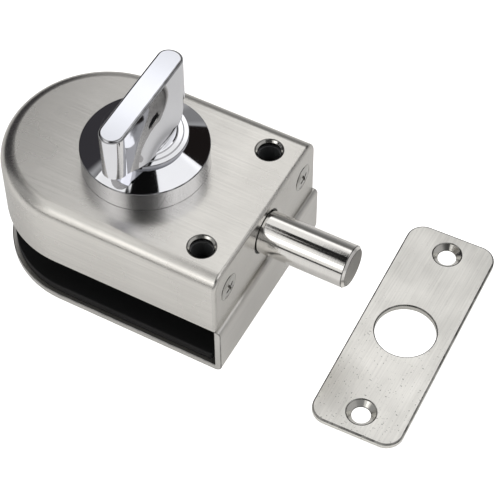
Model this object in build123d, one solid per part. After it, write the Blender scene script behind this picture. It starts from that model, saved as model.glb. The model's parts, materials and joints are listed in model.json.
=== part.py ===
from build123d import *
import math
import os

# Glass door floor lock, lying on its back plate with the thumb-turn up and the bolt thrown.
# Millimetres. Origin: where the thumb-turn's axis meets the underside of the back plate.
# +X is the way the bolt is thrown, +Z leaves the lock through its face.

# Case: a drawn stainless shell with a D-shaped outline, open underneath
end_x = 36.5
case_length = 78.0
case_width = 56.0
case_top = 38.5
case_bottom = 17.5
case_wall = 1.2
case_edge_radius = 4.5
end_edge_radius = 1.0
round_x = end_x - case_length + case_width / 2

# Bracket: one bent sheet that makes the back plate, the end flange and the chassis leg
sheet = 2.0
flange_proud = 1.3
flange_top = case_bottom - 0.1
bend_outer = 2.2
bend_inner = 0.4
shoulder_radius = 1.2
leg_bottom = 20.2
leg_top = leg_bottom + sheet
leg_width = 52.4
riser_width = 50.0
riser_gap = 0.1
bracket_joint_x = 20.0

# Clamp: two set screws press a padded plate on the glass
back_pad_thickness = 2.6
back_pad_inset = 1.2
plate_top = 19.9
plate_thickness = 1.6
front_pad_thickness = 1.6
front_pad_inset = 0.4
plate_width = 50.0
plate_front = 32.4
clamp_x = 27.5
clamp_y = 18.5
clamp_screw_radius = 2.95
clamp_screw_top = 31.5
clamp_screw_chamfer = 0.4
clamp_thread_radius = 3.0
clamp_clearance_radius = 3.3
hex_across_flats = 3.0
hex_depth = 3.5
nub_radius = 1.4
nub_clearance = 0.05
nub_shoulder_gap = 0.05
nub_bottom = 17.4
nub_head_radius = 1.8
nub_head_height = 0.3
clip_radius = 2.6
clip_thickness = 0.5
clip_top = 18.25
pad_pocket_radius = 3.2
key_hole_radius = 3.15
key_hole_edge_radius = 3.85

# Bolt, and the rack that drives it
bolt_radius = 6.0
bolt_tail_radius = 5.8
bolt_z = 29.5
bolt_out = 25.8
bolt_chamfer = 0.8
bolt_flat_z = 30.0
bolt_flat_x = 34.8
bolt_full_x = end_x + 0.1
bolt_rear_x = -13.0
bolt_clearance = 0.06
end_hole_radius = 6.4

tooth_module = 1.0
pinion_teeth = 16
pinion_bottom = 32.3
pinion_height = 3.2
pressure_angle = 20.0
mesh_backlash = 0.16
root_depth = 1.25
pinion_root_share = 1.32
pinion_tip_share = 0.47
pitch_radius = tooth_module * pinion_teeth / 2
bolt_travel = pitch_radius * math.pi

rack_front_x = 30.2
rack_rear_x = -8.6
rack_plate_top = 31.9
rack_plate_edge_y = -5.5
rack_back_y = 12.4
rack_top = 35.4
rack_screw_xs = (25.0, -5.0)
rack_screw_depth = 4.6

# Blocks inside the case that carry the bolt
block_rear_x = 21.9
block_front_x = end_x - case_wall - 0.1
block_half_width = 25.3
block_top = 36.3
block_corner_radius = 3.0
block_floor = leg_top + 0.05
rack_pocket_front_x = 30.7
rack_pocket_y = (-6.3, 12.8)
rack_pocket_z = 29.7
saddle_x = (-2.0, 10.0)
saddle_half_width = 10.5
saddle_top = 27.5
spring_pocket = (10.0, 5.4)
spring_pocket_depth = 3.0
spring_width = 4.6
spring_length = 9.4
spring_sheet = 0.3
spring_crown_gap = 0.04

# Small screws. A modelled thread is a plain cylinder with thread_gap round it.
thread_gap = 0.01
end_screw_y = 20.8
end_screw_z = 29.5
end_screw_head_radius = 3.4
end_screw_radius = 1.75
end_screw_tip_x = 31.0
end_screw_crown = 0.45
end_screw_recess_turn = 25.0
small_screw_radius = 1.5
small_head_radius = 2.9
screw_gap = 0.05
block_screw_x = 26.0
block_screw_y = 10.2
block_screw_top = 28.0
saddle_screw_x = 4.0
saddle_screw_y = 7.9
saddle_screw_top = 25.4
post_x = -22.5
post_y = 18.0
post_radius = 3.0
post_screw_top = 29.0
recess_width = 0.8
recess_depth = 0.8
hole_past_tip = 0.4

# Spindle and its bush
spindle_radius = 4.0
spindle_drive_radius = 3.0
spindle_across_flats = 4.6
spindle_gap = 0.05
drive_gap = 0.02
bush_flange_radius = 10.0
bush_flange_bottom = 36.1
bush_radius = 6.6
bush_top = 47.2
washer_radius = 8.0
washer_bottom = 35.6
washer_top = 36.0
spindle_shoulder = 48.2
spindle_top = 54.4

# Rose: the turned cup under the thumb-turn
rose_radius = 17.5
rose_rim_height = 6.5
rose_top_height = 9.6
rose_top_radius = 10.5
rose_wall = 1.3
rose_rim_wall = 0.8
rose_top_wall = 1.4
rose_edge_radius = 0.35
rose_hub_radius = 8.2
rose_hub_bottom = 40.0

# Thumb-turn: a narrow bar whose sides sweep out to a round foot
foot_bottom = 48.5
foot_radius = 11.9
foot_lip = 1.2
foot_crown = 0.9
foot_crown_radius = 8.6
grip_bottom = 49.9
grip_top = 64.5
grip_half_length = 18.1
grip_end_radius = 3.6
grip_waist = 9.0
grip_sweep_power = 2.6
grip_sections = 7
grip_top_bow = 0.05
grip_bore_room = 0.3
grub_radius = 1.5
grub_z = 51.6
grub_x = (-6.1, -2.45)
grub_bore_x = -1.55
grub_socket_radius = 0.87
grub_socket_depth = 1.6

# Strike plate, lying on the floor beside the lock
strike_centre = (76.1, 6.6)
strike_turn = 2.0
strike_width = 26.0
strike_length = 72.0
strike_thickness = 1.8
strike_corner_radius = 5.0
strike_edge_radius = 0.3
strike_hole_radius = 8.5
strike_screw_offset = 29.1
strike_screw_radius = 2.6
strike_countersink_radius = 4.1

# How far a cutting shape passes the face that it cuts
over = 1.0

os.makedirs("parts", exist_ok=True)


def write(name, shape):
    export_step(shape, "parts/" + name + ".step")


def cylinder(radius, low, high, x=0.0, y=0.0):
    """Upright cylinder between two heights."""
    return Pos(x, y, low) * Cylinder(radius, high - low, align=(Align.CENTER, Align.CENTER, Align.MIN))


def cylinder_x(radius, low, high, y=0.0, z=0.0):
    """Cylinder that lies along X between two places."""
    turned = Rot(0, 90, 0) * Cylinder(radius, high - low, align=(Align.CENTER, Align.CENTER, Align.MIN))
    return Pos(low, y, z) * turned


def cone(bottom_radius, top_radius, low, high, x=0.0, y=0.0):
    """Upright cone between two heights."""
    return Pos(x, y, low) * Cone(bottom_radius, top_radius, high - low,
                                 align=(Align.CENTER, Align.CENTER, Align.MIN))


def block(x_range, y_range, z_range):
    """Box between given coordinates."""
    size = [high - low for low, high in (x_range, y_range, z_range)]
    corner = Pos(x_range[0], y_range[0], z_range[0])
    return corner * Box(*size, align=(Align.MIN, Align.MIN, Align.MIN))


def d_plate(half_width, front, low, high):
    """Slab with two straight sides and a round end about round_x."""
    straight = block((round_x, front), (-half_width, half_width), (low, high))
    return straight + cylinder(half_width, low, high, round_x)


def revolve_profile(points):
    """Solid turned about Z from a closed outline of (radius, height) points."""
    outline = Plane.XZ * Polyline(*points, close=True)
    return revolve(make_face(outline), Axis.Z)


def countersunk_up(x, y, head_z, top):
    """Small countersunk screw whose head is flush with head_z and whose shank points up."""
    slope = small_head_radius - small_screw_radius
    screw = cone(small_head_radius, small_screw_radius, head_z, head_z + slope, x, y)
    screw += cylinder(small_screw_radius, head_z, top, x, y)
    slot = Pos(x, y, head_z + recess_depth / 2)
    return screw - slot * Box(2 * small_screw_radius, recess_width, recess_depth)


def countersunk_seat(x, y, head_z, top):
    """Countersunk clearance hole for such a screw."""
    slope = small_head_radius - small_screw_radius
    seat = cone(small_head_radius + screw_gap, small_screw_radius + screw_gap, head_z, head_z + slope, x, y)
    return seat + cylinder(small_screw_radius + screw_gap, head_z - over, top, x, y)


def end_screw(side):
    """Oval-head screw in the end wall, pointing into the guide block."""
    radius = end_screw_head_radius
    neck_x = end_x - (radius - end_screw_radius)
    crown = ThreePointArc((end_x, radius), (end_x + 0.75 * end_screw_crown, radius / 2),
                          (end_x + end_screw_crown, 0))
    rest = Polyline((end_x + end_screw_crown, 0), (end_screw_tip_x, 0), (end_screw_tip_x, end_screw_radius),
                    (neck_x, end_screw_radius), (end_x, radius))
    screw = revolve(make_face(Curve([crown, rest])), Axis.X)
    for turn in (0, 90):
        turned = Pos(end_x, 0, 0) * Rot(turn + end_screw_recess_turn, 0, 0)
        screw -= turned * Box(2 * recess_depth, recess_width, radius)
    return Pos(0, side * end_screw_y, end_screw_z) * screw


def end_screw_seat(side, gap):
    """Countersunk hole for an end screw."""
    slope = end_screw_head_radius - end_screw_radius
    head = Rot(0, 90, 0) * Cone(end_screw_radius + gap, end_screw_head_radius + gap, slope,
                                align=(Align.CENTER, Align.CENTER, Align.MIN))
    seat = Pos(end_x - slope, side * end_screw_y, end_screw_z) * head
    seat += cylinder_x(end_screw_radius + gap, end_screw_tip_x - hole_past_tip, end_x,
                       side * end_screw_y, end_screw_z)
    mouth = cylinder_x(end_screw_head_radius + gap, end_x, end_x + over, side * end_screw_y, end_screw_z)
    return seat + mouth


def front_case():
    """Drawn shell: fillet round the D contour, a sharper edge at the flat end."""
    half = case_width / 2
    shell = d_plate(half, end_x, case_bottom, case_top)
    top_edges = shell.faces().sort_by(Axis.Z)[-1].edges()
    contour = [e for e in top_edges if e.center().X < end_x - over]
    shell = fillet(contour, case_edge_radius)
    end_edges = shell.faces().sort_by(Axis.X)[-1].edges()
    rim = [e for e in end_edges if e.center().Z > case_bottom + over]
    shell = fillet(rim, end_edge_radius)
    inner_half = half - case_wall
    hollow = d_plate(inner_half, end_x - case_wall, case_bottom, case_top - case_wall)
    inner_top = hollow.faces().sort_by(Axis.Z)[-1].edges()
    inner_contour = [e for e in inner_top if e.center().X < end_x - case_wall - over]
    hollow = fillet(inner_contour, case_edge_radius - case_wall)
    shell -= hollow
    shell -= cylinder_x(end_hole_radius, end_x - 2 * case_wall, end_x + over, 0, bolt_z)
    shell -= cylinder(bush_radius + screw_gap, case_top - 2 * case_wall, case_top + over)
    edge_step = key_hole_edge_radius - key_hole_radius
    for side in (-1, 1):
        y = side * clamp_y
        shell -= cylinder(key_hole_radius, case_top - 2 * case_wall, case_top + over, clamp_x, y)
        shell -= cone(key_hole_radius, key_hole_edge_radius, case_top - edge_step, case_top, clamp_x, y)
        shell -= end_screw_seat(side, screw_gap)
    return shell


def case_posts():
    """Two threaded posts welded under the face; screws through the chassis leg hold them."""
    posts = []
    for side in (-1, 1):
        y = side * post_y
        post = cylinder(post_radius, block_floor, case_top - case_wall - 0.05, post_x, y)
        hole_top = post_screw_top + hole_past_tip
        posts.append(post - cylinder(small_screw_radius + thread_gap, block_floor, hole_top, post_x, y))
    return Compound(posts)


def bracket():
    """Bent sheet: D-shaped back plate, end flange, a step in under the case and a D-shaped leg."""
    flange_x = end_x + flange_proud
    inner_x = flange_x - sheet
    riser_x = end_x - case_wall - riser_gap
    riser_inner_x = riser_x - sheet
    step_z = flange_top - sheet
    rear_x = bracket_joint_x
    outline = [(rear_x, 0), (flange_x, 0), (flange_x, flange_top), (riser_x, flange_top), (riser_x, leg_top),
               (rear_x, leg_top), (rear_x, leg_bottom), (riser_inner_x, leg_bottom), (riser_inner_x, step_z),
               (inner_x, step_z), (inner_x, sheet), (rear_x, sheet)]
    radii = {(flange_x, 0): bend_outer, (flange_x, flange_top): shoulder_radius,
             (riser_x, leg_top): bend_outer, (riser_inner_x, step_z): bend_outer,
             (riser_inner_x, leg_bottom): bend_inner,
             (inner_x, step_z): bend_inner, (inner_x, sheet): bend_inner}
    face = make_face(Plane.XZ * Polyline(*outline, close=True))
    for (x, z), radius in radii.items():
        corner = face.vertices().sort_by_distance(Vector(x, 0, z))[0]
        face = fillet(corner, radius)
    half = case_width / 2
    lower = extrude(face, half, both=True) & block((rear_x, flange_x), (-half, half), (0, flange_top))
    upper = extrude(face, riser_width / 2, both=True)
    upper &= block((rear_x, flange_x), (-half, half), (step_z, leg_top))
    body = lower + upper + d_plate(half, rear_x + over, 0, sheet)
    body += d_plate(leg_width / 2, riser_inner_x - over, leg_bottom, leg_top)
    for side in (-1, 1):
        body -= cylinder(clamp_clearance_radius, leg_bottom - over, leg_top + over, clamp_x, side * clamp_y)
        body -= countersunk_seat(block_screw_x, side * block_screw_y, leg_bottom, leg_top + over)
        body -= countersunk_seat(saddle_screw_x, side * saddle_screw_y, leg_bottom, leg_top + over)
        body -= countersunk_seat(post_x, side * post_y, leg_bottom, leg_top + over)
    return body


def guide_block():
    """Block behind the end wall: bolt bore, clamp screw threads and end screw threads."""
    half = block_half_width
    body = block((block_rear_x, block_front_x), (-half, half), (block_floor, block_top))
    body = fillet(body.edges().filter_by(Axis.X).sort_by(Axis.Z)[-2:], block_corner_radius)
    body -= cylinder_x(bolt_radius + bolt_clearance, block_rear_x - over, block_front_x + over, 0, bolt_z)
    body -= block((block_rear_x - over, rack_pocket_front_x), rack_pocket_y,
                  (rack_pocket_z, block_top + over))
    for side in (-1, 1):
        body -= cylinder(clamp_thread_radius, block_floor - over, block_top + over, clamp_x, side * clamp_y)
        body -= cylinder(small_screw_radius + thread_gap, block_floor - over, block_screw_top + hole_past_tip,
                         block_screw_x, side * block_screw_y)
        body -= end_screw_seat(side, thread_gap)
    return body


def tail_saddle():
    """Half-round saddle under the bolt's tail, with a pocket for the friction spring."""
    body = block(saddle_x, (-saddle_half_width, saddle_half_width), (block_floor, saddle_top))
    body -= cylinder_x(bolt_tail_radius + bolt_clearance, saddle_x[0] - over, saddle_x[1] + over, 0, bolt_z)
    middle = sum(saddle_x) / 2
    body -= Pos(middle, 0, block_floor) * Box(*spring_pocket, 2 * spring_pocket_depth)
    hole_top = saddle_screw_top + hole_past_tip
    for side in (-1, 1):
        body -= cylinder(small_screw_radius + thread_gap, block_floor - over, hole_top,
                         saddle_screw_x, side * saddle_screw_y)
    return body


def friction_spring():
    """Bowed leaf spring: its crown bears on the underside of the bolt and holds it where it is put."""
    middle = sum(saddle_x) / 2
    half = spring_length / 2
    low = leg_top + 0.03
    crown = bolt_z - bolt_tail_radius - spring_crown_gap
    upper = ThreePointArc((-half, low + spring_sheet), (0, crown), (half, low + spring_sheet))
    lower = ThreePointArc((half, low), (0, crown - spring_sheet), (-half, low))
    sides = [Line((half, low + spring_sheet), (half, low)), Line((-half, low), (-half, low + spring_sheet))]
    face = make_face(Plane.XZ * Curve([upper, sides[0], lower, sides[1]]))
    return Pos(middle, 0, 0) * extrude(face, spring_width / 2, both=True)


def back_pad():
    """Rubber sheet glued to the back plate."""
    inset = back_pad_inset
    return d_plate(case_width / 2 - inset, end_x - inset - over, sheet, sheet + back_pad_thickness)


def pressure_plate():
    """Steel plate that the clamp screws push down on the glass."""
    plate = d_plate(plate_width / 2, plate_front, plate_top - plate_thickness, plate_top)
    for side in (-1, 1):
        plate -= cylinder(nub_radius + nub_clearance, plate_top - 2 * plate_thickness, plate_top + over,
                          clamp_x, side * clamp_y)
    return plate


def front_pad():
    """Rubber sheet under the pressure plate, pocketed round the screw tips."""
    top = plate_top - plate_thickness
    inset = front_pad_inset
    pad = d_plate(plate_width / 2 - inset, plate_front - inset, top - front_pad_thickness, top)
    for side in (-1, 1):
        pad -= cylinder(pad_pocket_radius, top - 2 * front_pad_thickness, top + over, clamp_x, side * clamp_y)
    return pad


def tip_clips():
    """Rings that keep the pressure plate on the two screw tips."""
    clips = []
    for side in (-1, 1):
        y = side * clamp_y
        ring = cylinder(clip_radius, clip_top - clip_thickness, clip_top, clamp_x, y)
        hole = cylinder(nub_radius + nub_clearance, clip_top - over, clip_top + over, clamp_x, y)
        clips.append(ring - hole)
    return Compound(clips)


def clamp_screw(side):
    """Hexagon socket set screw with a turned-down tip."""
    y = side * clamp_y
    shoulder = plate_top + nub_shoulder_gap
    screw = cylinder(clamp_screw_radius, shoulder, clamp_screw_top, clamp_x, y)
    screw = chamfer(screw.edges().filter_by(GeomType.CIRCLE), clamp_screw_chamfer)
    screw += cylinder(nub_radius, nub_bottom, shoulder, clamp_x, y)
    screw += cylinder(nub_head_radius, nub_bottom, nub_bottom + nub_head_height, clamp_x, y)
    socket = extrude(RegularPolygon(hex_across_flats / math.sqrt(3), 6), hex_depth)
    return screw - Pos(clamp_x, y, clamp_screw_top - hex_depth) * socket


def bolt():
    """Round bolt with a chamfered tip and a thinner tail, milled flat on top to carry the rack."""
    tip_x = end_x + bolt_out
    full = cylinder_x(bolt_radius, bolt_full_x, tip_x, 0, bolt_z)
    tail = cylinder_x(bolt_tail_radius, bolt_rear_x, bolt_full_x + over, 0, bolt_z)
    tip_edge = full.edges().filter_by(GeomType.CIRCLE).sort_by(Axis.X)[-1]
    tail_edge = tail.edges().filter_by(GeomType.CIRCLE).sort_by(Axis.X)[0]
    rod = chamfer(tip_edge, bolt_chamfer) + chamfer(tail_edge, bolt_chamfer)
    reach = bolt_radius + over
    rod -= block((bolt_rear_x - over, bolt_flat_x), (-reach, reach), (bolt_flat_z, bolt_z + reach))
    for x in rack_screw_xs:
        rod -= cylinder(small_screw_radius + thread_gap, bolt_flat_z - rack_screw_depth - hole_past_tip,
                        bolt_flat_z + over, x)
    return rod


def rack_slide():
    """Plate on the bolt's flat with a toothed bar along its +Y edge, in mesh with the pinion."""
    length = (rack_rear_x, rack_front_x)
    plate = block(length, (rack_plate_edge_y, rack_back_y), (bolt_flat_z, rack_plate_top))
    root_y = pitch_radius + root_depth * tooth_module
    bar = block(length, (root_y, rack_back_y), (bolt_flat_z, rack_top))
    tip_y = pitch_radius - tooth_module
    pitch = math.pi * tooth_module
    half_pitch_tooth = pitch / 4 - mesh_backlash / 2
    slope = math.tan(math.radians(pressure_angle))
    tip_half = half_pitch_tooth - tooth_module * slope
    root_half = half_pitch_tooth + root_depth * tooth_module * slope
    teeth = []
    first = math.ceil((rack_rear_x + root_half) / pitch - 0.5)
    last = math.floor((rack_front_x - root_half) / pitch - 0.5)
    for index in range(first, last + 1):
        centre = (index + 0.5) * pitch
        outline = Polyline((centre - root_half, root_y + 0.2), (centre - root_half, root_y),
                           (centre - tip_half, tip_y), (centre + tip_half, tip_y),
                           (centre + root_half, root_y), (centre + root_half, root_y + 0.2), close=True)
        teeth.append(Pos(0, 0, bolt_flat_z) * extrude(make_face(outline), rack_top - bolt_flat_z))
    slide = plate + bar + teeth
    for x in rack_screw_xs:
        slope_height = small_head_radius - small_screw_radius
        slide -= cylinder(small_screw_radius + screw_gap, bolt_flat_z - over, rack_plate_top, x)
        slide -= cone(small_screw_radius + screw_gap, small_head_radius + screw_gap,
                      rack_plate_top - slope_height, rack_plate_top, x)
    return slide


def rack_screws():
    """Two countersunk screws that fix the rack to the bolt."""
    screws = []
    slope_height = small_head_radius - small_screw_radius
    for x in rack_screw_xs:
        screw = cylinder(small_screw_radius, bolt_flat_z - rack_screw_depth, rack_plate_top, x)
        screw += cone(small_screw_radius, small_head_radius, rack_plate_top - slope_height, rack_plate_top, x)
        slot = Pos(x, 0, rack_plate_top - recess_depth / 2)
        screws.append(screw - slot * Box(recess_width, 2 * small_screw_radius, recess_depth))
    return Compound(screws)


def pinion():
    """Sixteen-tooth pinion with straight-flanked teeth that narrow from root to tip."""
    root_radius = pitch_radius - root_depth * tooth_module
    tip_radius = pitch_radius + tooth_module
    body = cylinder(root_radius, pinion_bottom, pinion_bottom + pinion_height)
    step = 2 * math.pi / pinion_teeth
    tooth_half = step / 4 - mesh_backlash / 2 / pitch_radius
    shares = ((root_radius - over, pinion_root_share), (root_radius, pinion_root_share), (pitch_radius, 1.0),
              (tip_radius, pinion_tip_share))
    side_points = [(radius, tooth_half * share) for radius, share in shares]
    teeth = []
    for index in range(pinion_teeth):
        middle = math.pi / 2 + index * step
        outline = [(r * math.cos(middle - a), r * math.sin(middle - a)) for r, a in side_points]
        outline += [(r * math.cos(middle + a), r * math.sin(middle + a)) for r, a in reversed(side_points)]
        tooth = extrude(make_face(Polyline(*outline, close=True)), pinion_height)
        teeth.append(Pos(0, 0, pinion_bottom) * tooth)
    return body + teeth - drive_section(drive_gap, pinion_bottom - over, pinion_bottom + pinion_height + over)


def drive_section(gap, low, high):
    """Round bar with two flats, or the hole for it when gap is more than nothing."""
    across = spindle_across_flats + 2 * gap
    reach = spindle_drive_radius + over
    flats = block((-across / 2, across / 2), (-reach, reach), (low, high))
    return cylinder(spindle_drive_radius + gap, low, high) & flats


def spindle():
    """Shaft from the thumb-turn to the pinion, with flats at both ends."""
    shaft = cylinder(spindle_radius, washer_bottom, spindle_shoulder)
    shaft += drive_section(0, pinion_bottom, washer_bottom)
    return shaft + drive_section(0, spindle_shoulder, spindle_top)


def spindle_bush():
    """Flanged bush that clamps the face between its flange and the rose."""
    bush = cylinder(bush_flange_radius, bush_flange_bottom, case_top - case_wall - drive_gap)
    bush += cylinder(bush_radius, bush_flange_bottom, bush_top)
    return bush - cylinder(spindle_radius + spindle_gap, bush_flange_bottom - over, bush_top + over)


def thrust_washer():
    """Washer between the pinion and the bush."""
    hole = cylinder(spindle_radius + spindle_gap, washer_bottom - over, washer_top + over)
    return cylinder(washer_radius, washer_bottom, washer_top) - hole


def rose():
    """Turned cup with an upright rim, a conical top and a threaded hub inside."""
    rim_z = case_top + rose_rim_height
    top_z = case_top + rose_top_height
    bore = bush_radius + screw_gap
    cup = revolve_profile([(bore, case_top), (rose_radius, case_top), (rose_radius, rim_z),
                           (rose_top_radius, top_z), (bore, top_z)])
    outer_edges = [e for e in cup.edges().filter_by(GeomType.CIRCLE) if e.radius > rose_top_radius + over]
    cup = fillet(ShapeList(outer_edges).sort_by(Axis.Z)[-1], rose_edge_radius)
    inner_rim = rose_radius - rose_wall
    under_top = top_z - rose_top_wall
    cup -= revolve_profile([(rose_hub_radius, case_top), (inner_rim, case_top),
                            (inner_rim, rim_z - rose_rim_wall), (rose_top_radius, under_top),
                            (rose_hub_radius, under_top)])
    under_hub = cylinder(rose_hub_radius + rose_wall, case_top - over, rose_hub_bottom)
    return cup - under_hub


def half_grip_outline(height, waist, side):
    """Half of the bar's outline at one height: round ends, and a side bowed out to the waist."""
    centre_y = grip_half_length - grip_end_radius
    middle = grip_end_radius * math.sqrt(0.5)
    x = side * grip_end_radius
    edges = [ThreePointArc((0, -grip_half_length), (side * middle, -centre_y - middle), (x, -centre_y)),
             ThreePointArc((x, -centre_y), (side * waist, 0), (x, centre_y)),
             ThreePointArc((x, centre_y), (side * middle, centre_y + middle), (0, grip_half_length)),
             Line((0, grip_half_length), (0, -grip_half_length))]
    return Plane.XY.offset(height) * make_face(Curve(edges))


def thumb_turn():
    """Cast grip: a bar that sweeps out towards a round foot, bored for the spindle."""
    lip_z = foot_bottom + foot_lip
    crown_z = lip_z + foot_crown
    body = revolve_profile([(0, foot_bottom), (foot_radius, foot_bottom), (foot_radius, lip_z),
                            (foot_crown_radius, crown_z), (0, crown_z)])
    for side in (-1, 1):
        sections = []
        for index in range(grip_sections):
            height = grip_bottom + (grip_top - grip_bottom) * index / (grip_sections - 1)
            down = (grip_top - height) / (grip_top - foot_bottom)
            bow = (grip_waist - grip_end_radius) * down ** grip_sweep_power
            waist = grip_end_radius + grip_top_bow + bow
            sections.append(half_grip_outline(height, waist, side))
        body += loft(sections)
    body -= drive_section(drive_gap, foot_bottom - over, spindle_top + grip_bore_room)
    return body - cylinder_x(grub_radius + thread_gap, -foot_radius, grub_bore_x, 0, grub_z)


def grub_screw():
    """Socket grub screw that locks the thumb-turn on the spindle."""
    screw = cylinder_x(grub_radius, *grub_x, 0, grub_z)
    socket = Rot(0, 90, 0) * extrude(RegularPolygon(grub_socket_radius, 6), grub_socket_depth)
    return screw - Pos(grub_x[0], 0, grub_z) * socket


def strike_plate():
    """Flat plate with a bolt hole and two countersunk screw holes."""
    plate = Box(strike_width, strike_length, strike_thickness, align=(Align.CENTER, Align.CENTER, Align.MIN))
    plate = fillet(plate.edges().filter_by(Axis.Z), strike_corner_radius)
    plate = fillet(plate.faces().sort_by(Axis.Z)[-1].edges(), strike_edge_radius)
    plate -= cylinder(strike_hole_radius, -over, strike_thickness + over)
    slope = strike_countersink_radius - strike_screw_radius
    for side in (-1, 1):
        y = side * strike_screw_offset
        plate -= cylinder(strike_screw_radius, -over, strike_thickness + over, 0, y)
        plate -= cone(strike_screw_radius, strike_countersink_radius, strike_thickness - slope,
                      strike_thickness, 0, y)
    return Pos(strike_centre[0], strike_centre[1], 0) * Rot(0, 0, strike_turn) * plate


def screw_group(x, y, top):
    """Two countersunk screws through the chassis leg, one each side."""
    return Compound([countersunk_up(x, side * y, leg_bottom, top) for side in (-1, 1)])


write("front_case", front_case())
write("case_posts", case_posts())
write("bracket", bracket())
write("guide_block", guide_block())
write("tail_saddle", tail_saddle())
write("friction_spring", friction_spring())
write("back_pad", back_pad())
write("pressure_plate", pressure_plate())
write("front_pad", front_pad())
write("tip_clips", tip_clips())
write("clamp_screw_near", clamp_screw(-1))
write("clamp_screw_far", clamp_screw(1))
write("end_screws", Compound([end_screw(side) for side in (-1, 1)]))
write("block_screws", screw_group(block_screw_x, block_screw_y, block_screw_top))
write("saddle_screws", screw_group(saddle_screw_x, saddle_screw_y, saddle_screw_top))
write("case_screws", screw_group(post_x, post_y, post_screw_top))
write("bolt", bolt())
write("rack_slide", rack_slide())
write("rack_screws", rack_screws())
write("pinion", pinion())
write("spindle", spindle())
write("spindle_bush", spindle_bush())
write("thrust_washer", thrust_washer())
write("rose", rose())
write("thumb_turn", thumb_turn())
write("grub_screw", grub_screw())
write("strike_plate", strike_plate())

print("bolt travel for half a turn", round(bolt_travel, 3), "mm")
gap = plate_top - plate_thickness - front_pad_thickness - sheet - back_pad_thickness
print("glass gap, clamp open", round(gap, 2), "mm")
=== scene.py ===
"""Glass door floor lock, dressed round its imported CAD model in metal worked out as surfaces."""

import json
import math

import bpy
import numpy as np
from mathutils import Matrix, Vector
from mathutils.geometry import delaunay_2d_cdt


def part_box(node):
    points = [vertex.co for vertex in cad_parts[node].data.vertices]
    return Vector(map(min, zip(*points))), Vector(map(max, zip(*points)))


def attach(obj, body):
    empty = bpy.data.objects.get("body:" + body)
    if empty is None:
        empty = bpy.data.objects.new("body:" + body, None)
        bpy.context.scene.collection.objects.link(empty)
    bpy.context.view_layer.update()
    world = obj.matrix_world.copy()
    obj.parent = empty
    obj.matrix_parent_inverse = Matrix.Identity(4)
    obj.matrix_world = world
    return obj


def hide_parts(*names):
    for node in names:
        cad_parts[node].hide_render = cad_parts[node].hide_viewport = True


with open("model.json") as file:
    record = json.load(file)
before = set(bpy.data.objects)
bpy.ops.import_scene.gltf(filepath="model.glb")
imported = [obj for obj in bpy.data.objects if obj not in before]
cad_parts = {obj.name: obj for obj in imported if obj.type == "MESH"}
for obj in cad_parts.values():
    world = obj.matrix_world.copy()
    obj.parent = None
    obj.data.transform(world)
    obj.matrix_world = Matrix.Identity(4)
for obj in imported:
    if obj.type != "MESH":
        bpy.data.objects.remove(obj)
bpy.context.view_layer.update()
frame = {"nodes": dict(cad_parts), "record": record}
scene = bpy.context.scene
MM = 0.001
SIDES = (-1, 1)

# Which of X, Y and Z an outline's two directions and its height lie along
UPRIGHT = (0, 1, 2)
ALONG_X = (1, 2, 0)
ACROSS_Y = (0, 2, 1)

# Points of an outline nearer than this are one; points of different patches are merged on a grid of WELD
SAME_PLACE = 1e-7
WELD = 0.002
# Radii at which a rounding counts as no edge at all and as a full edge, for worn edges and painted edge shade
SOFT_BEND, SHARP_BEND = 1.5, 0.6


def box_mm(name):
    """Lowest and highest corner of a CAD node, in millimetres."""
    low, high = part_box(name)
    return np.array(low) / MM, np.array(high) / MM


# -------- outlines and patches

def length(vectors):
    """Lengths of vectors on the last axis."""
    return np.linalg.norm(vectors, axis=-1)


def unit(vectors):
    """Vectors on the last axis scaled to length 1."""
    return vectors / length(vectors)[..., None]


def towards(angle):
    """Unit directions (cos, sin) of angles in radians."""
    return np.stack([np.cos(angle), np.sin(angle)], -1)


def right_of(direction):
    """The unit normal on the right of a direction of travel."""
    return np.array([direction[1], -direction[0]])


def spun(flat_points, angle):
    """Points or directions (..., 2) turned counter-clockwise by an angle in radians."""
    a, b = flat_points[..., 0], flat_points[..., 1]
    return np.stack([a * np.cos(angle) - b * np.sin(angle), a * np.sin(angle) + b * np.cos(angle)], -1)


def rounded(corners, radii, closed=False, step=6.0):
    """Outline through corners given as (a, b), each rounded to its radius, with a point every step degrees.
    A rounded corner is centre + side * radius * normal, its normal turned evenly from one run's to the next's.
    A sharp corner is two points in one place with the two runs' normals. Normals are on the right of travel."""
    corners = [np.array(c, float) for c in corners]
    runs = [end - start for start, end in zip(corners, corners[1:] + corners[:1])]
    runs = [run / np.linalg.norm(run) for run in runs]
    points, normals = [], []
    for i, corner in enumerate(corners):
        into, out = runs[i - 1], runs[i]
        if not closed and i in (0, len(corners) - 1):
            points.append([corner])
            normals.append([right_of(out if i == 0 else into)])
            continue
        turn = math.atan2(into[0] * out[1] - into[1] * out[0], float(into @ out))
        radius = radii.get(i, 0.0)
        if radius == 0.0 or abs(turn) < 1e-6:
            points.append([corner, corner])
            normals.append([right_of(into), right_of(out)])
            continue
        side = math.copysign(1.0, turn)
        centre = corner - into * radius * math.tan(abs(turn) / 2) - side * radius * right_of(into)
        angle = turn * np.linspace(0, 1, max(2, math.ceil(math.degrees(abs(turn)) / step)) + 1)
        normal = spun(right_of(into), angle)
        points.append(centre + side * radius * normal)
        normals.append(normal)
    points, normals = np.concatenate(points), np.concatenate(normals)
    if closed:
        points, normals = np.vstack([points, points[:1]]), np.vstack([normals, normals[:1]])
    return points, normals


def span(line, first, last=None):
    """Part of an outline or profile: its points and normals from first up to last."""
    return line[0][first:last], line[1][first:last]


def inward(outline, distance):
    """Points of an outline moved in against its normals."""
    return outline[0] - distance * outline[1]


def ring(radius, centre=(0.0, 0.0), count=96):
    """Circle: centre + radius * (cos, sin), counter-clockwise, closed on its first point."""
    normal = towards(np.linspace(0, 2 * np.pi, count + 1))
    normal[-1] = normal[0]
    return np.array(centre) + radius * normal, normal


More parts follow.
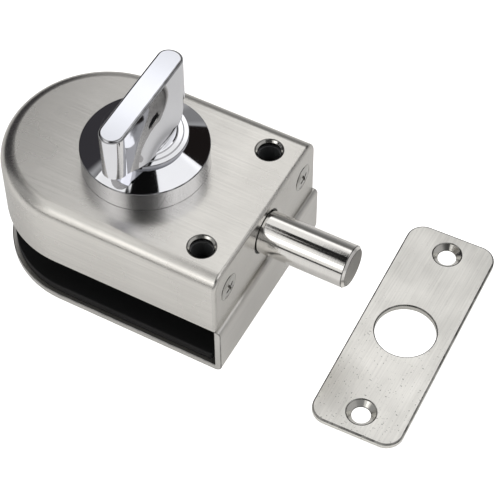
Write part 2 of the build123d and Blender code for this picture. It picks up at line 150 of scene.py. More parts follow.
def hole_line(corners, radii, step=6.0):
    """Profile of a hole from its mouth inwards, through (radius, height) corners rounded to their radii.
    A point on the flat face round the mouth gives the mouth its rounding and is then left out."""
    mouth_radius, face = corners[0]
    line = rounded([(mouth_radius + 1, face)] + corners, {i + 1: r for i, r in radii.items()}, step=step)
    return span(line, 1)


def place(local, axes):
    """Local (a, b, height) put on the row's axes."""
    world = np.empty_like(local)
    for source, target in enumerate(axes):
        world[..., target] = local[..., source]
    return world


def grid_patch(points, normals):
    """Quads over a grid of points (rows, columns, 3), with a normal for each point."""
    rows, columns = points.shape[:2]
    index = np.arange(rows * columns).reshape(rows, columns)
    quads = np.stack([index[:-1, :-1], index[:-1, 1:], index[1:, 1:], index[1:, :-1]], -1)
    return points.reshape(-1, 3), normals.reshape(-1, 3), quads.reshape(-1, 4)


def carry(outline, profile, axes=UPRIGHT):
    """A profile of (outward, height) carried along an outline: outline point + outward * outline normal,
    at that height. The surface normal is the profile's, with its outward part along the outline's normal."""
    (base, side), (shape, lean) = outline, profile
    across = base[:, None] + shape[None, :, :1] * side[:, None]
    up = np.broadcast_to(shape[None, :, 1:], across.shape[:2] + (1,))
    normal = lean[None, :, :1] * side[:, None]
    rise = np.broadcast_to(lean[None, :, 1:], normal.shape[:2] + (1,))
    return grid_patch(place(np.concatenate([across, up], -1), axes),
                      place(np.concatenate([normal, rise], -1), axes))


def turned(profile, centre=(0.0, 0.0), axes=UPRIGHT, count=96):
    """A profile of (radius, height) turned about an axis through centre."""
    return carry(ring(0.0, centre, count), profile, axes)


def flat(loops, height, axes=UPRIGHT, up=1.0, holes=()):
    """Flat face at a height between an outer loop and others, by constrained triangles over the loops' points.
    Round holes are given as (profile, centre). A face with up 1 has their mouths, one with -1 their far ends.
    A triangle is kept where a line from its middle towards +a crosses the loops an odd number of times."""
    points, edges = [], []
    met = 0 if up > 0 else -1
    for loop in loops + [ring(line[0][met, 0], centre)[0] for line, centre in holes]:
        loop = loop[:-1] if np.allclose(loop[0], loop[-1]) else loop
        loop = loop[length(loop - np.roll(loop, 1, 0)) > SAME_PLACE]
        start = sum(map(len, points))
        index = np.arange(len(loop))
        edges += list(zip((start + index).tolist(), (start + (index + 1) % len(loop)).tolist()))
        points.append(loop)
    points = np.concatenate(points)
    found = delaunay_2d_cdt([Vector(p) for p in points], edges, [], 1, SAME_PLACE)
    if any(not ids for ids in found[3]):
        raise ValueError(f"the loops of the flat face at {height} cross each other")
    source = np.array([ids[0] for ids in found[3]])
    triangles = source[np.array(found[2])]
    middle = points[triangles].mean(1)[:, None]
    start, end = (points[np.array(edges)[:, i]][None] for i in (0, 1))
    across = (start[..., 1] > middle[..., 1]) != (end[..., 1] > middle[..., 1])
    rise = np.where(across, end[..., 1] - start[..., 1], 1.0)
    cut = start[..., 0] + (middle[..., 1] - start[..., 1]) / rise * (end[..., 0] - start[..., 0])
    triangles = triangles[((across & (cut > middle[..., 0])).sum(1) % 2) == 1]
    quads = np.column_stack([triangles, triangles[:, 2]])
    local = np.column_stack([points, np.full(len(points), height)])
    normal = np.zeros_like(local)
    normal[:, 2] = up
    return place(local, axes), place(normal, axes), quads


def edge_share(points, normals):
    """How far each face belongs to a rounded edge, by its tightest turn of normal over length:
    0 where it is flatter than a SOFT_BEND radius, rising to 1 at a SHARP_BEND radius."""
    shortest = 1e-4
    step = length(points - np.roll(points, 1, 1))
    turn = np.arccos(np.clip(np.einsum("ijk,ijk->ij", normals, np.roll(normals, 1, 1)), -1, 1))
    bend = np.where(step > shortest, turn / np.maximum(step, shortest), 0.0).max(1)
    return np.clip((bend - 1 / SOFT_BEND) / (1 / SHARP_BEND - 1 / SOFT_BEND), 0, 1)


def merged(patches):
    """Patches joined to one set of points, faces, corner normals and edge shares, with the faces turned to
    agree with the normals."""
    starts = np.cumsum([0] + [len(p[0]) for p in patches[:-1]])
    points = np.concatenate([p[0] for p in patches])
    normals = unit(np.concatenate([p[1] for p in patches]))
    faces = np.concatenate([p[2] + start for p, start in zip(patches, starts)])
    a, b, c, d = (points[faces[:, i]] for i in range(4))
    facing = np.cross(c - a, np.where((faces[:, 2] == faces[:, 3])[:, None], c - b, d - b))
    away = np.einsum("ij,ij->i", facing, normals[faces].sum(1)) < 0
    faces[away] = faces[away][:, ::-1]
    edge = edge_share(points[faces], normals[faces])
    keys = np.round(points / WELD).astype(np.int64)
    _, keep, same = np.unique(keys, axis=0, return_index=True, return_inverse=True)
    joined = same.reshape(-1)[faces]
    corner = joined != np.roll(joined, 1, axis=1)
    whole = corner.sum(1) >= 3
    corner, joined, faces = corner[whole], joined[whole], faces[whole]
    edge = np.broadcast_to(edge[whole][:, None], corner.shape)[corner]
    return points[keep], joined[corner], corner.sum(1), normals[faces[corner]], edge, whole


def added(name, data):
    """Object of a mesh, light or camera, put in the scene."""
    thing = bpy.data.objects.new(name, data)
    scene.collection.objects.link(thing)
    return thing


def made(name, patches, body, slot, cad_name, look=None, cut=()):
    """Mesh object from patches in millimetres, riding on a body in place of a CAD node, in its slot's finish or
    a look of its own. The patches in cut are the ones that a cutting tool leaves, and look turned."""
    points, loops, sizes, normals, edge, whole = merged(patches + list(cut))
    mesh = bpy.data.meshes.new(name)
    mesh.vertices.add(len(points))
    mesh.vertices.foreach_set("co", (points * MM).astype(np.float32).ravel())
    mesh.loops.add(len(loops))
    mesh.loops.foreach_set("vertex_index", loops.astype(np.int32))
    mesh.polygons.add(len(sizes))
    starts = np.concatenate([[0], np.cumsum(sizes)[:-1]])
    mesh.polygons.foreach_set("loop_start", starts.astype(np.int32))
    mesh.update(calc_edges=True)
    mesh.attributes.new("edge", "FLOAT", "CORNER").data.foreach_set("value", edge.astype(np.float32))
    mesh.materials.append(FINISHES[look or slot])
    if cut:
        mesh.materials.append(FINISHES["turned_stainless"])
        plain = sum(len(p[2]) for p in patches)
        second = (np.arange(len(whole)) >= plain)[whole]
        mesh.polygons.foreach_set("material_index", second.astype(np.int32))
    mesh.validate()
    mesh.polygons.foreach_set("use_smooth", np.ones(len(mesh.polygons), bool))
    if len(mesh.loops) == len(normals):
        mesh.normals_split_custom_set(normals)
    else:
        print("corner normals dropped on", name, len(mesh.loops), len(normals))
    piece = added(name, mesh)
    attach(piece, body)
    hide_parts(cad_name)


# -------- shader nodes

def group(name, inputs, outputs):
    """Empty shader node group, with inputs {name: default}, numbers or vectors, and number outputs by name.
    Comes with the sockets to read the inputs from and to write the outputs to."""
    tree = bpy.data.node_groups.new(name, "ShaderNodeTree")
    for label, value in inputs.items():
        kind = "NodeSocketFloat" if isinstance(value, float) else "NodeSocketVector"
        tree.interface.new_socket(label, in_out="INPUT", socket_type=kind).default_value = value
    for label in outputs:
        tree.interface.new_socket(label, in_out="OUTPUT", socket_type="NodeSocketFloat")
    return tree, tree.nodes.new("NodeGroupInput").outputs, tree.nodes.new("NodeGroupOutput").inputs


def node(tree, kind, inputs=None, **settings):
    """Shader node with its settings, and its inputs set to values or linked to sockets."""
    built = tree.nodes.new(kind)
    for key, value in settings.items():
        setattr(built, key, value)
    for key, value in (inputs or {}).items():
        if isinstance(value, bpy.types.NodeSocket):
            tree.links.new(value, built.inputs[key])
        else:
            built.inputs[key].default_value = value
    return built


def shared(tree, group_tree, **inputs):
    """Outputs of a node group placed in a tree with its inputs set or linked."""
    inputs = {label.replace("_", " "): value for label, value in inputs.items()}
    return node(tree, "ShaderNodeGroup", inputs, node_tree=group_tree).outputs


def math_node(tree, operation, first, second=0.0, third=0.0):
    """Result of a Math node."""
    return node(tree, "ShaderNodeMath", {0: first, 1: second, 2: third}, operation=operation).outputs[0]


def plus(tree, base, value, share):
    """base + value * share."""
    return math_node(tree, "MULTIPLY_ADD", value, share, base)


def vector_math(tree, operation, first, **inputs):
    """Vector result of a Vector Math node."""
    return node(tree, "ShaderNodeVectorMath", {0: first, **inputs}, operation=operation).outputs[0]


def noise(tree, where, scale, detail, roughness=0.5):
    """Value of a noise texture."""
    return node(tree, "ShaderNodeTexNoise", {"Vector": where, "Scale": scale, "Detail": detail,
                                             "Roughness": roughness}).outputs[0]


def eased(tree, value, start, end, low=0.0, high=1.0):
    """A number that goes from low to high, with soft ends, while value goes from start to end."""
    return node(tree, "ShaderNodeMapRange",
                {"Value": value, "From Min": start, "From Max": end, "To Min": low, "To Max": high},
                interpolation_type="SMOOTHSTEP").outputs[0]


def axis_of(tree, vector, axis):
    """One coordinate of a vector."""
    return node(tree, "ShaderNodeSeparateXYZ", {0: vector}).outputs[axis]


def ramp(tree, value, stops):
    """Grey colour ramp through two (place, level) stops."""
    grey = node(tree, "ShaderNodeValToRGB", {"Fac": value})
    for element, (position, level) in zip(grey.color_ramp.elements, stops):
        element.position = position
        element.color = (level, level, level, 1.0)
    return grey.outputs[0]


# -------- finishes

def streak_group():
    """Brushed lines: noise on a place scaled up across the brushing and little along it, at two widths."""
    fine_scale = 2.6
    tree, source, result = group("brushed_lines", {"Vector": (0.0, 0.0, 0.0), "Scale": (1.0, 1.0, 1.0)},
                                 ("Broad", "Fine"))
    scaled = node(tree, "ShaderNodeVectorMath", {0: source["Vector"], 1: source["Scale"]},
                  operation="MULTIPLY").outputs[0]
    tree.links.new(noise(tree, scaled, 1.0, 1.0), result["Broad"])
    finer = vector_math(tree, "SCALE", scaled, Scale=fine_scale)
    tree.links.new(noise(tree, finer, 1.0, 1.0), result["Fine"])
    return tree


def smudge_group():
    """Handling marks: soft blotches and sparse specks, both from 0 to 1."""
    speck_scale = 14.0
    tree, source, result = group("handling_marks", {"Vector": (0.0, 0.0, 0.0), "Size": 60.0},
                                 ("Blotches", "Specks"))
    soft = noise(tree, source["Vector"], source["Size"], 4.0, 0.55)
    tree.links.new(ramp(tree, soft, [(0.35, 0.0), (0.7, 1.0)]), result["Blotches"])
    finer = math_node(tree, "MULTIPLY", source["Size"], speck_scale)
    speck = noise(tree, source["Vector"], finer, 1.0)
    tree.links.new(ramp(tree, speck, [(0.68, 0.0), (0.76, 1.0)]), result["Specks"])
    return tree


def edge_wear_and_shade_group():
    """Worn edges with painted shade: the piece's own edge share, broken up by noise so that it comes and goes.
    Finishes darken their colour by it, a painted dark line standing in for a dark reflection, and roughen by it.
    """
    patch_scale = 420.0
    tree, source, result = group("edge_wear_and_shade", {"Vector": (0.0, 0.0, 0.0), "Edge": 0.0}, ("Wear_and_shade",))
    share = ramp(tree, noise(tree, source["Vector"], patch_scale, 3.0), [(0.3, 0.6), (0.65, 1.0)])
    tree.links.new(math_node(tree, "MULTIPLY", source["Edge"], share), result["Wear_and_shade"])
    return tree


BRUSHED = streak_group()
HANDLED = smudge_group()
WORN_AND_SHADED = edge_wear_and_shade_group()
FINISHES = {}


def finish(name, colour, roughness, metallic=1.0, specular=0.5, brush=None, brush_tone=0.0, relief=1e-5,
           marks=0.0, mark_rough=0.0, mark_size=60.0, pits=0.0, grain=None, grain_depth=1.0,
           painted_edge_shade=0.0, edge_rough=0.0, fade=None):
    """Adds a metal or rubber to FINISHES: brushed lines or grain, handling marks, pits, and rounded edges worn
    rougher and darkened by painted shade, a dark line standing in for a dark reflection, each at its own
    strength.
    brush and grain are noise cells in a metre, brush along X, Y and Z; relief is their depth.
    fade is the low and high Y, in metres, between which the pits thin out and the metal darkens a little."""
    far_pits, near_tone = 0.15, 0.14
    material = bpy.data.materials.new(name)
    material.use_nodes = True
    tree = material.node_tree
    sockets = tree.nodes["Principled BSDF"].inputs
    sockets["Metallic"].default_value = metallic
    sockets["Specular IOR Level"].default_value = specular
    where = node(tree, "ShaderNodeTexCoord").outputs["Object"]
    handled = shared(tree, HANDLED, Vector=where, Size=mark_size)
    tone = plus(tree, 1.0, handled["Blotches"], -marks)
    rough = plus(tree, roughness, handled["Blotches"], mark_rough)
    edge = node(tree, "ShaderNodeAttribute", attribute_name="edge").outputs["Fac"]
    wear_and_shade = shared(tree, WORN_AND_SHADED, Vector=where, Edge=edge)["Wear_and_shade"]
    # Painted shade: rounded edges are darkened, a dark line standing in for a dark reflection; the same mask
    # roughens them as worn metal.
    tone = plus(tree, tone, wear_and_shade, painted_edge_shade)
    rough = plus(tree, rough, wear_and_shade, edge_rough)
    if brush:
        lines = shared(tree, BRUSHED, Vector=where, Scale=brush)
        tone = plus(tree, tone, math_node(tree, "SUBTRACT", lines["Broad"], 0.5), brush_tone)
        height = math_node(tree, "ADD", lines["Broad"], lines["Fine"])
    elif grain:
        height = math_node(tree, "MULTIPLY", noise(tree, where, grain, 3.0), grain_depth)
    specks = handled["Specks"]
    if fade:
        near = eased(tree, axis_of(tree, where, "Y"), fade[1], fade[0], low=far_pits)
        specks = math_node(tree, "MULTIPLY", specks, near)
        tone = plus(tree, tone, near, near_tone)
    if pits:
        tone = plus(tree, tone, specks, -pits)
    tree.links.new(vector_math(tree, "SCALE", colour, Scale=tone), sockets["Base Color"])
    tree.links.new(rough, sockets["Roughness"])
    if brush or grain:
        bump = node(tree, "ShaderNodeBump", {"Height": height, "Strength": 1.0, "Distance": relief})
        tree.links.new(bump.outputs[0], sockets["Normal"])
    FINISHES[name] = material


# The negative edge values below paint dark lines along rounded edges, standing in for dark reflections.
finish("satin_stainless", (0.65, 0.634, 0.604), 0.24, brush=(32.0, 2700.0, 2700.0), relief=1.1e-5,
       brush_tone=0.20, marks=0.04, mark_rough=0.05, painted_edge_shade=-0.4)
finish("bracket_stainless", (0.66, 0.645, 0.62), 0.27, brush=(2500.0, 32.0, 2500.0), relief=1.2e-5,
       brush_tone=0.16, marks=0.05, mark_rough=0.05, painted_edge_shade=-0.65)
finish("strike_stainless", (0.76, 0.748, 0.715), 0.28, brush=(2300.0, 60.0, 2300.0), relief=1.4e-5,
       brush_tone=0.30, marks=0.06, mark_rough=0.06, mark_size=130.0, pits=0.8, painted_edge_shade=-0.9, edge_rough=0.1,
       fade=(-0.012, 0.020))
finish("turned_stainless", (0.62, 0.61, 0.58), 0.14, brush=(30.0, 30.0, 2600.0), relief=1.5e-6,
       brush_tone=0.10, marks=0.05, mark_rough=0.05, painted_edge_shade=-0.85, edge_rough=0.08)
finish("chrome_plate", (0.775, 0.78, 0.81), 0.04, marks=0.05, mark_rough=0.02, grain=900.0, grain_depth=0.3,
       relief=1e-6, painted_edge_shade=-0.85)
finish("polished_steel", (0.75, 0.735, 0.71), 0.09, brush=(2600.0, 60.0, 60.0), relief=4e-6, brush_tone=0.08,
       marks=0.05, mark_rough=0.05, painted_edge_shade=-0.8)
finish("screw_steel", (0.58, 0.57, 0.55), 0.20, marks=0.10, mark_rough=0.08, mark_size=240.0, painted_edge_shade=-0.8)
finish("black_rubber", (0.009, 0.009, 0.0095), 0.62, metallic=0.0, specular=0.3, marks=0.25, mark_rough=0.1,
       grain=2500.0)
finish("cast_zinc", (0.42, 0.43, 0.44), 0.48, marks=0.15, mark_rough=0.12, grain=1800.0)
finish("brass", (0.72, 0.50, 0.22), 0.26, brush=(60.0, 60.0, 2600.0), relief=1e-6, brush_tone=0.06,
       marks=0.08, mark_rough=0.10)
finish("mild_steel", (0.45, 0.45, 0.46), 0.36, brush=(60.0, 60.0, 1800.0), relief=1e-6, brush_tone=0.06,
       marks=0.10, mark_rough=0.10)
finish("spring_steel", (0.36, 0.37, 0.40), 0.24, marks=0.06, mark_rough=0.08)
finish("black_steel", (0.004, 0.004, 0.0045), 0.42, metallic=0.3, specular=0.2, marks=0.2, mark_rough=0.12,
       grain=2200.0, grain_depth=0.6, relief=6e-6)

for part in frame["record"]["subparts"]:
    slots = frame["nodes"][part["node"]].data.materials
    slots.clear()
    slots.append(FINISHES[part["material_slot"]])


# -------- drawn case

case_low, (END_X, CASE_HALF, CASE_TOP) = box_mm("front_case")
CASE_BOTTOM = case_low[2]
ROUND_X = case_low[0] + CASE_HALF
WALL = 1.2
CASE_EDGE = 4.5
END_EDGE = 1.0
BOLT_CENTRE = (0.0, 29.5)
END_HOLE = 6.4
SCREW_CENTRES = [(side * 20.8, BOLT_CENTRE[1]) for side in SIDES]
SEAT_R = 3.8
KEY_CENTRES = [(27.5, side * 18.5) for side in SIDES]
KEY_HOLE = 3.15
KEY_RIM = 3.85
KEY_CHAMFER = 0.7
BUSH_HOLE = 6.65


def d_outline(half, front):
    """Open D: along one straight side, round the end of radius half about ROUND_X, and back along the other."""
    normal = towards(np.radians(np.linspace(90, 270, 61)))
    normal[[0, -1], 0] = 0.0
    arc = np.array([ROUND_X, 0.0]) + half * normal
    arc[[0, -1], 0] = ROUND_X
    points = np.vstack([[[front, half]], arc, [[front, -half]]])
    return points, np.vstack([[[0.0, 1.0]], normal, [[0.0, -1.0]]])


def end_rim(front, edge):
    """Profile (outward, x) of the rounded edge round the case's end."""
    return span(rounded([(0, front - 2 * edge), (0, front), (-2 * edge, front)], {1: edge}), 1, -1)


def case_skin(half, front, top, edge, end_edge, inside=False):
    """One skin of the case: its D wall with the rounded top edge, and the end with its own smaller edge.
    Comes with the loops that bound the flat top and end, and the wall's outline."""
    contour = d_outline(half, front - end_edge)
    wall = span(rounded([(0, CASE_BOTTOM), (0, top), (-edge - 1, top)], {1: edge}), 0, -1)
    arch = rounded([(half, CASE_BOTTOM), (half, top), (-half, top), (-half, CASE_BOTTOM)], {1: edge, 2: edge})
    patches = [carry(contour, wall)]
    if end_edge:
        patches.append(carry(arch, end_rim(front, end_edge), ALONG_X))
    if inside:
        patches = [(points, -normals, quads) for points, normals, quads in patches]
    return patches, inward(contour, edge), inward(arch, end_edge), contour


def case_pieces():
    """The case's skins, the flat faces between its holes and its lower rim; and apart from them the walls that
    cutting tools leave in its holes. Together they are one closed shell."""
    inner_top, inner_end = CASE_TOP - WALL, END_X - WALL
    faces, top_loop, end_loop, contour = case_skin(CASE_HALF, END_X, CASE_TOP, CASE_EDGE, END_EDGE)
    inner, inner_top_loop, inner_end_loop, inner_contour = case_skin(
        CASE_HALF - WALL, inner_end, inner_top, CASE_EDGE - WALL, 0.0, inside=True)
    faces += inner
    key = hole_line([(KEY_RIM, CASE_TOP), (KEY_HOLE, CASE_TOP - KEY_CHAMFER), (KEY_HOLE, inner_top)],
                    {0: 0.5, 1: 0.3})
    bush = rounded([(BUSH_HOLE, CASE_TOP), (BUSH_HOLE, inner_top)], {})
    bolt = hole_line([(END_HOLE, END_X), (END_HOLE, inner_end)], {0: 0.2})
    seat = hole_line([(SEAT_R, END_X), (SEAT_R - WALL, inner_end)], {0: 0.12})
    top_holes = [(key, centre) for centre in KEY_CENTRES] + [(bush, (0.0, 0.0))]
    end_holes = [(bolt, BOLT_CENTRE)] + [(seat, centre) for centre in SCREW_CENTRES]
    cut = [turned(line, centre) for line, centre in top_holes]
    cut += [turned(line, centre, ALONG_X) for line, centre in end_holes]
    faces += [flat([top_loop], CASE_TOP, holes=top_holes),
              flat([inner_top_loop], inner_top, up=-1.0, holes=top_holes),
              flat([end_loop], END_X, ALONG_X, holes=end_holes),
              flat([inner_end_loop], inner_end, ALONG_X, -1.0, end_holes)]
    rim = end_rim(END_X, END_EDGE)[0]
    far_corner = np.column_stack([rim[:, 1], CASE_HALF + rim[:, 0]])
    lower_loop = np.vstack([contour[0], far_corner * (1, -1), far_corner[::-1]])
    faces.append(flat([lower_loop, inner_contour[0]], CASE_BOTTOM, up=-1.0))
    return faces, cut


case_faces, case_cuts = case_pieces()
made("case_shell", case_faces, "lock_body", "satin_stainless", "front_case", cut=case_cuts)


# -------- plates and the bent bracket

SHEET = 2.0
SHEET_EDGE = 0.25
FLANGE_X, _, LEG_TOP = box_mm("bracket")[1]
FLANGE_TOP = CASE_BOTTOM - 0.1
RISER_X = END_X - WALL - 0.1
RISER_HALF = 25.0
LEG_HALF = 26.2
SHOULDER_LAP, LEG_LAP = 0.6, 4.0
# Where the bent part of the back plate meets its plain part
JOINT_X = 20.0
# Radii: outside and inside of a bend, the flange's visible top edge, and a cut edge
BEND, BEND_INSIDE, LIP, BLUNT = 2.2, 0.4, 1.2, 0.3
CLAMP_HOLES = [(3.3, centre) for centre in KEY_CENTRES]


def slab(outline, low, high, edge, holes=(), axes=UPRIGHT):
    """Plate between two heights with rounded rims, and plain round holes given as (radius, centre)."""
    rim = rounded([(-2 * edge, low), (0, low), (0, high), (-2 * edge, high)], {1: edge, 2: edge}, step=15)
    loop = [inward(outline, edge)]
    holes = [(rounded([(radius, high), (radius, low)], {}), centre) for radius, centre in holes]
    return [carry(outline, span(rim, 1, -1), axes), *(turned(line, centre) for line, centre in holes),
            flat(loop, high, axes, holes=holes), flat(loop, low, axes, -1.0, holes)]


def closed_d(half, front, corner=0.5):
    """Closed D outline with its two front corners a little rounded."""
    arc = span(d_outline(half, front), 1, -1)
    ends = rounded([(ROUND_X, -half), (front, -half), (front, half), (ROUND_X, half)],
                   {1: corner, 2: corner}, step=15)
    return tuple(np.vstack([around, end, around[:1]]) for around, end in zip(arc, ends))


def strip(corners, radii, half):
    """Bent sheet: an open or closed outline in XZ carried across Y, with both edges rounded."""
    closed = corners[0] == corners[-1]
    outline = rounded(corners[:-1] if closed else corners, radii, closed, step=5)
    return slab(outline, -half, half, SHEET_EDGE, axes=ACROSS_Y)


def bracket_pieces():
    """Back plate and flange in one bent sheet, and shoulder, riser and leg, each a closed shell."""
    inner, back, under = FLANGE_X - SHEET, RISER_X - SHEET, FLANGE_TOP - SHEET
    flange = [(JOINT_X, 0.0), (FLANGE_X, 0.0), (FLANGE_X, FLANGE_TOP), (inner, FLANGE_TOP), (inner, SHEET),
              (JOINT_X, SHEET)]
    patches = strip(flange, {1: BEND, 2: LIP, 3: BLUNT, 4: BEND_INSIDE}, CASE_HALF)
    front = inner + SHOULDER_LAP
    shoulder = [(back, under), (front, under), (front, FLANGE_TOP), (back, FLANGE_TOP), (back, under)]
    patches += strip(shoulder, dict.fromkeys(range(4), BLUNT), RISER_HALF)
    patches += slab(d_outline(CASE_HALF, JOINT_X), 0.0, SHEET, SHEET_EDGE)
    sunk, lap, leg_under = FLANGE_TOP - 1.0, RISER_X - LEG_LAP, LEG_TOP - SHEET
    riser = [(RISER_X, sunk), (RISER_X, LEG_TOP), (lap, LEG_TOP), (lap, leg_under), (back, leg_under),
             (back, sunk), (RISER_X, sunk)]
    patches += strip(riser, dict.fromkeys(range(6), BLUNT) | {1: BEND, 4: BEND_INSIDE}, RISER_HALF)
    return patches + slab(closed_d(LEG_HALF, back - 1.0), leg_under, LEG_TOP, SHEET_EDGE, CLAMP_HOLES)


made("bent_bracket", bracket_pieces(), "lock_body", "satin_stainless", "bracket", look="bracket_stainless")

PAD_CORNER, PAD_EDGE = 1.0, 0.3
pad_low, pad_high = box_mm("back_pad")
made("glass_pad", slab(closed_d(pad_high[1], pad_high[0], PAD_CORNER), pad_low[2], pad_high[2], PAD_EDGE),
     "lock_body", "black_rubber", "back_pad")


# -------- rose, thumb-turn

ROSE_R, _, ROSE_TOP = box_mm("rose")[1]
ROSE_RIM = CASE_TOP + 6.5
ROSE_FLAT = 10.5
ROSE_UNDER = ROSE_TOP - 1.4
SKIRT_R = 16.2
NECK_R = 8.2
NECK_BOTTOM = 40.0
rose_line = rounded([(SKIRT_R, CASE_TOP), (ROSE_R, CASE_TOP), (ROSE_R, ROSE_RIM), (ROSE_FLAT, ROSE_TOP),
                     (BUSH_HOLE, ROSE_TOP), (BUSH_HOLE, NECK_BOTTOM), (NECK_R, NECK_BOTTOM),
                     (NECK_R, ROSE_UNDER), (ROSE_FLAT, ROSE_UNDER), (SKIRT_R, ROSE_RIM - 0.8)],
                    {1: 0.12, 2: 0.35, 3: 0.6, 4: 0.2}, closed=True, step=10)
made("turned_rose", [turned(rose_line, count=180)], "lock_body", "chrome_plate", "rose")

(_, _, FOOT_Z), (FOOT_R, GRIP_HALF, GRIP_TOP) = box_mm("thumb_turn")
GRIP_BOTTOM = FOOT_Z + 1.4
GRIP_END = 3.6
# Half length of the bar between the centres of its round ends
GRIP_RUN = GRIP_HALF - GRIP_END
# Half width of the bar's middle at the top, how much it gains by the foot, and the power that it gains it by
WAIST, WAIST_GAIN, WAIST_POWER = 3.65, 5.35, 2.6
# Radius of the top edge, how much more it has at the far end, and the hollow's radius where bar meets foot
GRIP_EDGE, FAR_EDGE, CREASE = 0.7, 0.6, 0.5
SPINDLE_BORE = 3.02
BORE_TOP = 54.7
# The round foot from its lower rim up: upright side, then two nearly flat steps with short risers
FOOT_LINE = np.column_stack(rounded(
    [(FOOT_R - 1, FOOT_Z), (FOOT_R, FOOT_Z), (FOOT_R, FOOT_Z + 1.2), (10.6, FOOT_Z + 1.34),
     (10.4, FOOT_Z + 1.6), (9.1, FOOT_Z + 1.72), (8.9, FOOT_Z + 1.96), (8.6, FOOT_Z + 2.1)],
    {1: 0.15, 2: 0.15, 3: 0.08, 4: 0.1, 5: 0.08, 6: 0.1}, step=15))[1:]
CROWN_Z = FOOT_LINE[-1, 1]


def grip_waist(z):
    """Half width of the bar at its middle: WAIST, plus WAIST_GAIN * the share of the way down ** WAIST_POWER."""
    return WAIST + WAIST_GAIN * np.clip((GRIP_TOP - z) / (GRIP_TOP - FOOT_Z), 0, 1) ** WAIST_POWER


def grip_side(y, waist):
    """x and the normal of the bowed side: the circle through the two end arcs' tangents and (waist, 0)."""
    bow = waist - GRIP_END
    radius = (GRIP_RUN ** 2 + bow ** 2) / (2 * bow)
    rise = np.sqrt(radius ** 2 - y ** 2)
    return waist - radius + rise, rise / radius, y / radius


def grip_outline(z):
    """Points and normals of the bar's outline at heights z, one row for each height: bowed side, round end,
    bowed side, round end. They meet at doubled columns."""
    z = np.atleast_1d(z)[:, None]
    sectors = []
    for side in (1.0, -1.0):
        y = GRIP_RUN * np.sin(np.radians(np.linspace(-90, 90, 61)))[None, :] * side
        x, nx, ny = grip_side(y + 0 * z, grip_waist(z) + 0 * y)
        sectors.append((np.stack([side * x, y + 0 * z], -1), np.stack([side * nx, ny], -1)))
        angle = np.radians(np.linspace(0, 180, 33))[None, :] + (0 if side > 0 else np.pi)
        normal = towards(angle + 0 * z)
        sectors.append((np.array([0.0, side * GRIP_RUN]) + GRIP_END * normal, normal))
    sectors.append([values[:, :1] for values in sectors[0]])
    return [np.concatenate(values, 1) for values in zip(*sectors)]


def disc_radius(z):
    """Radius of the round foot at a height, read from its profile."""
    return np.interp(z, FOOT_LINE[:, 1], FOOT_LINE[:, 0])


